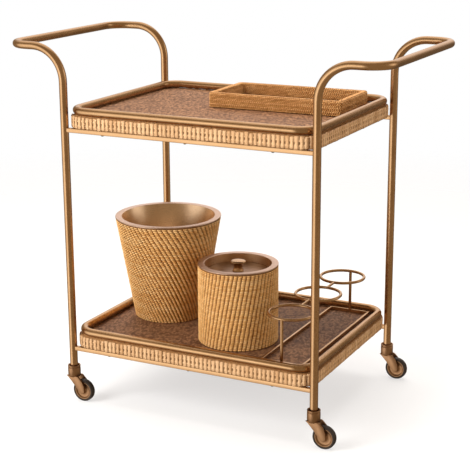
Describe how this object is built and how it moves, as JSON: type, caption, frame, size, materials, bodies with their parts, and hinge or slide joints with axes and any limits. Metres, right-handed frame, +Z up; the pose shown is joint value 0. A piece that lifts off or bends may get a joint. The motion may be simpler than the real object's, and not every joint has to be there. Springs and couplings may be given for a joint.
{
  "type": "bar cart",
  "caption": "Tube-frame bar cart with rattan shelves in guard rings, swivel casters, bottle rack, lift-off tray, wine cooler and lidded ice bucket.",
  "frame": {"origin": "on the floor, under the middle of the four posts, which is the middle of the bounding box's bottom face", "axes": "+X along the cart towards the bottle rack, +Y to the cart's back, +Z up"},
  "size_m": [0.9314, 0.4894, 0.8497],
  "materials": {
    "antique_brass": "brushed antique brass, satin",
    "rim_brass": "lighter brushed brass, semi-gloss",
    "rattan_wrap": "woven rattan over a wooden core, matte",
    "woven_mat": "fine brown woven mat on a board, matte",
    "dark_steel": "darkened steel, satin",
    "tyre_rubber": "near-black brown, matte"
  },
  "bodies": {
    "cart": {"handle_tube_left": "antique_brass", "handle_tube_right": "antique_brass", "guard_ring_upper": "antique_brass", "apron_upper": "rattan_wrap", "shelf_panel_upper": "woven_mat", "rail_upper_front": "antique_brass", "rail_screw_upper_front_1": "dark_steel", "rail_screw_upper_front_2": "dark_steel", "rail_screw_upper_front_3": "dark_steel", "rail_upper_back": "antique_brass", "rail_screw_upper_back_1": "dark_steel", "rail_screw_upper_back_2": "dark_steel", "rail_screw_upper_back_3": "dark_steel", "guard_ring_lower": "antique_brass", "apron_lower": "rattan_wrap", "shelf_panel_lower": "woven_mat", "rail_lower_front": "antique_brass", "rail_screw_lower_front_1": "dark_steel", "rail_screw_lower_front_2": "dark_steel", "rail_screw_lower_front_3": "dark_steel", "rail_lower_back": "antique_brass", "rail_screw_lower_back_1": "dark_steel", "rail_screw_lower_back_2": "dark_steel", "rail_screw_lower_back_3": "dark_steel", "caster_stem_front_left": "dark_steel", "caster_stem_front_right": "dark_steel", "caster_stem_back_left": "dark_steel", "caster_stem_back_right": "dark_steel", "rack_base": "antique_brass", "rack_post_front": "antique_brass", "rack_post_back": "antique_brass", "rack_ring_front": "antique_brass", "rack_ring_middle": "antique_brass", "rack_ring_back": "antique_brass"},
    "caster_front_left": {"caster_fork_front_left": "antique_brass", "caster_axle_front_left": "dark_steel"},
    "wheel_front_left": {"wheel_hub_front_left": "antique_brass", "wheel_tyre_front_left": "tyre_rubber"},
    "caster_front_right": {"caster_fork_front_right": "antique_brass", "caster_axle_front_right": "dark_steel"},
    "wheel_front_right": {"wheel_hub_front_right": "antique_brass", "wheel_tyre_front_right": "tyre_rubber"},
    "caster_back_left": {"caster_fork_back_left": "antique_brass", "caster_axle_back_left": "dark_steel"},
    "wheel_back_left": {"wheel_hub_back_left": "antique_brass", "wheel_tyre_back_left": "tyre_rubber"},
    "caster_back_right": {"caster_fork_back_right": "antique_brass", "caster_axle_back_right": "dark_steel"},
    "wheel_back_right": {"wheel_hub_back_right": "antique_brass", "wheel_tyre_back_right": "tyre_rubber"},
    "serving_tray": {"serving_tray_frame": "rattan_wrap", "serving_tray_panel": "woven_mat"},
    "wine_cooler": {"wine_cooler_shell": "rattan_wrap", "wine_cooler_liner": "rim_brass"},
    "ice_bucket": {"ice_bucket_shell": "rattan_wrap", "ice_bucket_liner": "rim_brass"},
    "bucket_lid": {"ice_bucket_lid": "rim_brass", "lid_knob": "rim_brass", "lid_knob_screw": "dark_steel"}
  },
  "joints": [
    {"name": "swivel_front_left", "type": "hinge", "parent": "cart", "child": "caster_front_left", "pos_m": [-0.31, -0.23, 0.07], "axis": [0, 0, 1], "continuous": true},
    {"name": "spin_front_left", "type": "hinge", "parent": "caster_front_left", "child": "wheel_front_left", "pos_m": [-0.284, -0.23, 0.0268], "axis": [0, 1, 0], "continuous": true},
    {"name": "swivel_front_right", "type": "hinge", "parent": "cart", "child": "caster_front_right", "pos_m": [0.31, -0.23, 0.07], "axis": [0, 0, 1], "continuous": true},
    {"name": "spin_front_right", "type": "hinge", "parent": "caster_front_right", "child": "wheel_front_right", "pos_m": [0.336, -0.23, 0.0268], "axis": [0, 1, 0], "continuous": true},
    {"name": "swivel_back_left", "type": "hinge", "parent": "cart", "child": "caster_back_left", "pos_m": [-0.31, 0.23, 0.07], "axis": [0, 0, 1], "continuous": true},
    {"name": "spin_back_left", "type": "hinge", "parent": "caster_back_left", "child": "wheel_back_left", "pos_m": [-0.284, 0.23, 0.0268], "axis": [0, 1, 0], "continuous": true},
    {"name": "swivel_back_right", "type": "hinge", "parent": "cart", "child": "caster_back_right", "pos_m": [0.31, 0.23, 0.07], "axis": [0, 0, 1], "continuous": true},
    {"name": "spin_back_right", "type": "hinge", "parent": "caster_back_right", "child": "wheel_back_right", "pos_m": [0.336, 0.23, 0.0268], "axis": [0, 1, 0], "continuous": true},
    {"name": "tray_lift", "type": "slide", "parent": "cart", "child": "serving_tray", "axis": [0, 0, 1], "range_m": [0, 0.18]},
    {"name": "cooler_lift_out", "type": "slide", "parent": "cart", "child": "wine_cooler", "axis": [0.0802, 0.9621, 0.2606], "range_m": [0, 0.42]},
    {"name": "bucket_lift_out", "type": "slide", "parent": "cart", "child": "ice_bucket", "axis": [0, -0.8, 0.6], "range_m": [0, 0.35]},
    {"name": "lid_lift", "type": "slide", "parent": "ice_bucket", "child": "bucket_lid", "axis": [0, 0, 1], "range_m": [0, 0.1]}
  ]
}
